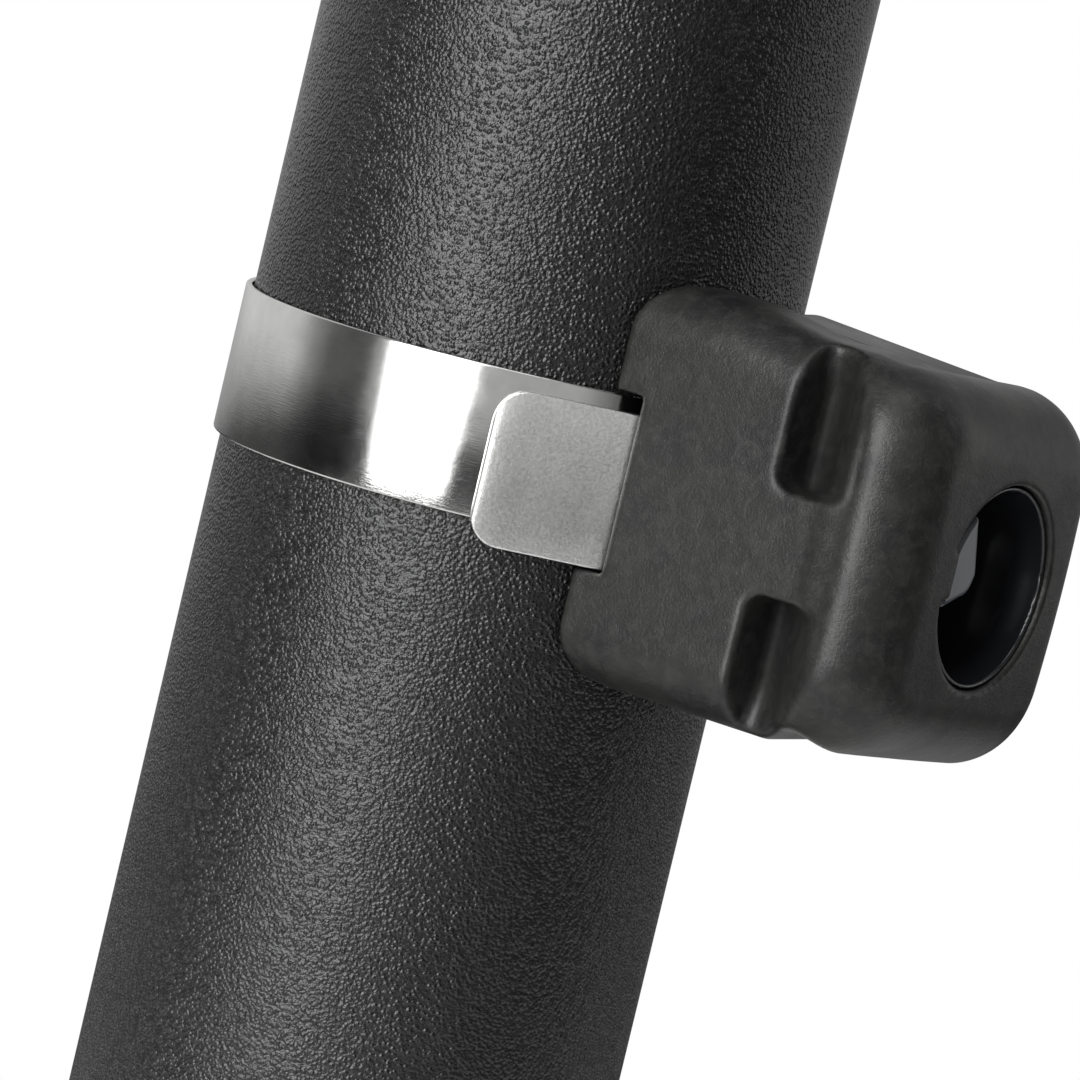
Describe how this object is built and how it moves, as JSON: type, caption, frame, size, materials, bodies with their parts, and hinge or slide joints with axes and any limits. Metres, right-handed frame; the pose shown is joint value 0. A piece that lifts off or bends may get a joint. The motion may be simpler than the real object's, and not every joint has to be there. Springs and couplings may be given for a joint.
{
  "type": "mini pump",
  "caption": "Hand pump for bicycle tyres with a textured barrel, sliding handle, thumb lever head and a band clamp with a keyed socket block.",
  "frame": {"origin": "centre of the end bumper's flat face, on the barrel's axis", "axes": "+Z along the barrel from the head to the handle, +X from the barrel's axis to the clamp block"},
  "size_m": [0.0713, 0.037, 0.294],
  "materials": {
    "barrel_coat": "fine leather grain, satin black",
    "hard_black": "fine spark-eroded matt black",
    "liner_black": "gloss black",
    "rubber": "matt dark grey rubber",
    "stainless": "rolled stainless strip",
    "steel": "machined steel",
    "aluminium": "turned, satin",
    "brass": "turned",
    "acetal": "off-white moulded"
  },
  "bodies": {
    "barrel": {"barrel_tube": "barrel_coat", "top_collar": "hard_black", "rod_bush": "acetal", "rod_wiper_ring": "rubber", "barrel_end_plug": "acetal", "end_plug_seal": "rubber", "head_body": "hard_black", "end_bumper": "rubber", "valve_gasket": "rubber", "lever_pin": "steel", "clamp_band": "stainless", "clamp_block": "rubber", "socket_liner": "liner_black", "draw_yoke": "steel", "front_band_pin": "steel", "rear_band_pin": "steel", "clamp_washer": "steel"},
    "chuck": {"chuck_cap": "hard_black"},
    "check_valve": {"check_valve_disc": "rubber"},
    "lever": {"thumb_lever": "hard_black"},
    "plunger": {"gasket_plunger": "aluminium", "plunger_seal": "rubber"},
    "piston": {"piston_body": "acetal", "piston_cup": "rubber"},
    "handle": {"piston_rod": "aluminium", "rod_lower_plug": "brass", "rod_upper_plug": "brass", "piston_washer": "steel", "piston_screw": "steel", "bump_stop_ring": "rubber", "handle_core": "hard_black", "handle_grip": "rubber", "handle_ring": "aluminium", "handle_end_cap": "hard_black", "handle_screw": "steel"},
    "tightener": {"clamp_screw": "steel"}
  },
  "joints": [
    {"name": "handle_slide", "type": "slide", "parent": "barrel", "child": "piston", "axis": [0, 0, 1], "range_m": [0, 0.125]},
    {"name": "handle_turn", "type": "hinge", "parent": "piston", "child": "handle", "pos_m": [0, 0, 0.24], "axis": [0, 0, 1], "continuous": true},
    {"name": "lever_flip", "type": "hinge", "parent": "barrel", "child": "lever", "pos_m": [0.019, 0, 0.02], "axis": [0, 1, 0], "range_deg": [0, 90]},
    {"name": "plunger_push", "type": "slide", "parent": "barrel", "child": "plunger", "axis": [-1, 0, 0], "range_m": [0, 0.0022]},
    {"name": "check_valve_lift", "type": "slide", "parent": "barrel", "child": "check_valve", "axis": [0, 0, 1], "range_m": [0, 0.001]},
    {"name": "chuck_cap_turn", "type": "hinge", "parent": "barrel", "child": "chuck", "pos_m": [-0.03, 0, 0.02], "axis": [1, 0, 0], "continuous": true},
    {"name": "clamp_screw_turn", "type": "hinge", "parent": "barrel", "child": "tightener", "pos_m": [0.026, 0, 0.11675], "axis": [1, 0, 0], "continuous": true}
  ],
  "couplings": [
    {"joint": "plunger_push", "follows": "lever_flip", "m_per_rad": 0.0014}
  ]
}
